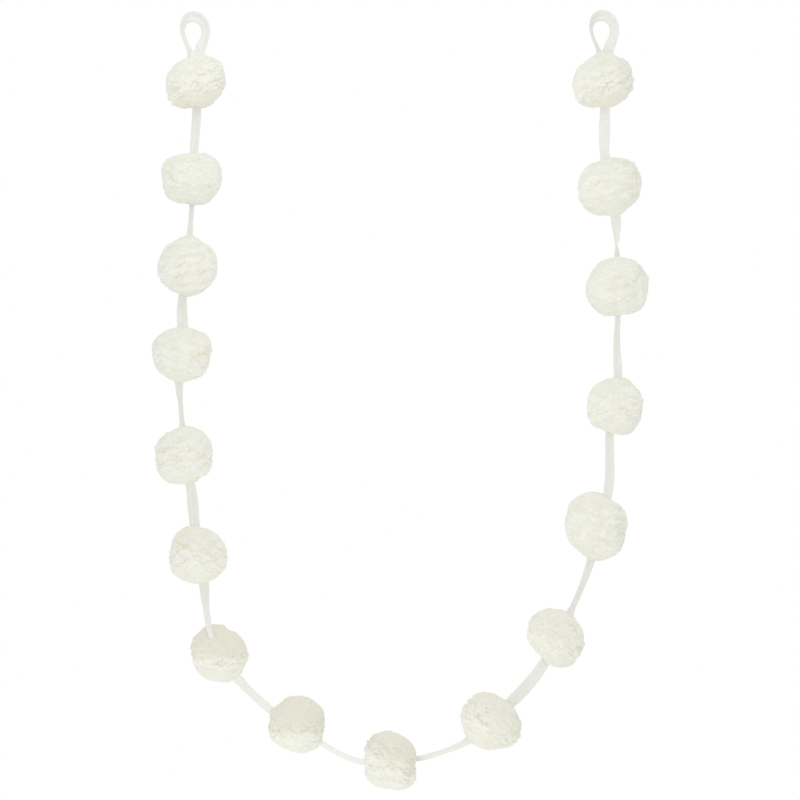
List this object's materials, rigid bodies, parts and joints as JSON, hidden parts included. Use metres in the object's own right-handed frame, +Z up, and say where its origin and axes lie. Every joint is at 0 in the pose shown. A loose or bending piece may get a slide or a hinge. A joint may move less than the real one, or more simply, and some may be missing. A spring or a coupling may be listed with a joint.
{
  "type": "pom-pom garland",
  "caption": "Hanging garland of round yarn pom-poms threaded on a flat cotton tape, with a tape loop at each end, hung as a deep swag.",
  "frame": {"origin": "where a hook bears, inside the top of the left end loop", "axes": "+Z up, +X from the left end towards the right end, and the viewer at -Y; the garland hangs in the XZ plane"},
  "size_m": [0.5351, 0.0692, 0.8404],
  "materials": {
    "yarn": "soft matt ivory wool yarn, trimmed and lightly felted",
    "cotton_tape": "matt off-white woven cotton tape with a soft fold down its length"
  },
  "bodies": {
    "root": {"loop_left": "cotton_tape", "loop_right": "cotton_tape", "tape": "cotton_tape", "pompom_01": "yarn", "pompom_02": "yarn", "pompom_03": "yarn", "pompom_04": "yarn", "pompom_05": "yarn", "pompom_06": "yarn", "pompom_07": "yarn", "pompom_08": "yarn", "pompom_09": "yarn", "pompom_10": "yarn", "pompom_11": "yarn", "pompom_12": "yarn", "pompom_13": "yarn", "pompom_14": "yarn", "pompom_15": "yarn", "pompom_16": "yarn"}
  },
  "joints": []
}
